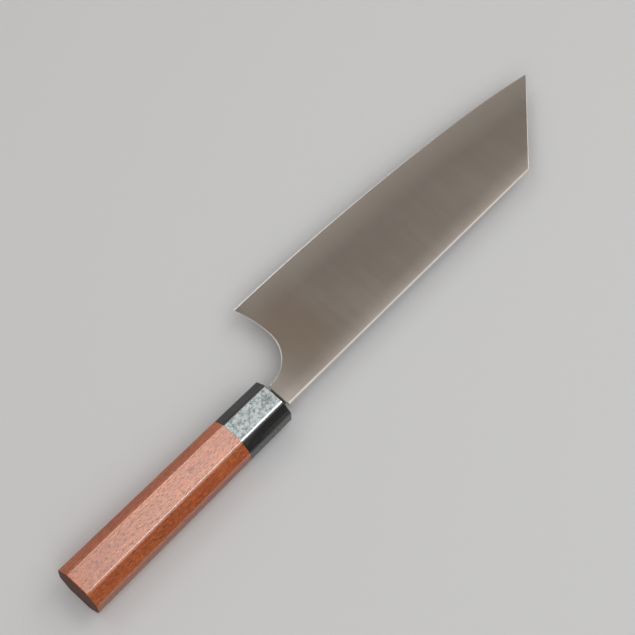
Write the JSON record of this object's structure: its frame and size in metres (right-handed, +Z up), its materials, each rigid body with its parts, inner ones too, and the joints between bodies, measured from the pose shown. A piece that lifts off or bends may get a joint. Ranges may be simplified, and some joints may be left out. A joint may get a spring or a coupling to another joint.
{
  "type": "bunka knife",
  "caption": "Kitchen knife lying on its side: tall flat blade with a clipped tip and hollow choil, stick tang bedded in an octagonal wooden handle with a black ferrule.",
  "frame": {"origin": "under the middle of the knife's box, on the surface that the handle lies on", "axes": "+X along the knife to the tip, +Y to the cutting edge, +Z up out of the blade's upper flat"},
  "size_m": [0.3198, 0.0554, 0.0202],
  "materials": {
    "blade_steel": "satin steel with fine lines from spine to edge and a bright edge bevel",
    "ferrule_horn": "polished black horn",
    "handle_wood": "smooth oiled red-brown hardwood with pores along the grain",
    "dowel_wood": "bare pale hardwood",
    "bedding_resin": "cured resin"
  },
  "bodies": {
    "root": {"blade": "blade_steel", "ferrule": "ferrule_horn", "handle_body": "handle_wood", "core_dowel": "dowel_wood", "tang_bedding": "bedding_resin"}
  },
  "joints": []
}
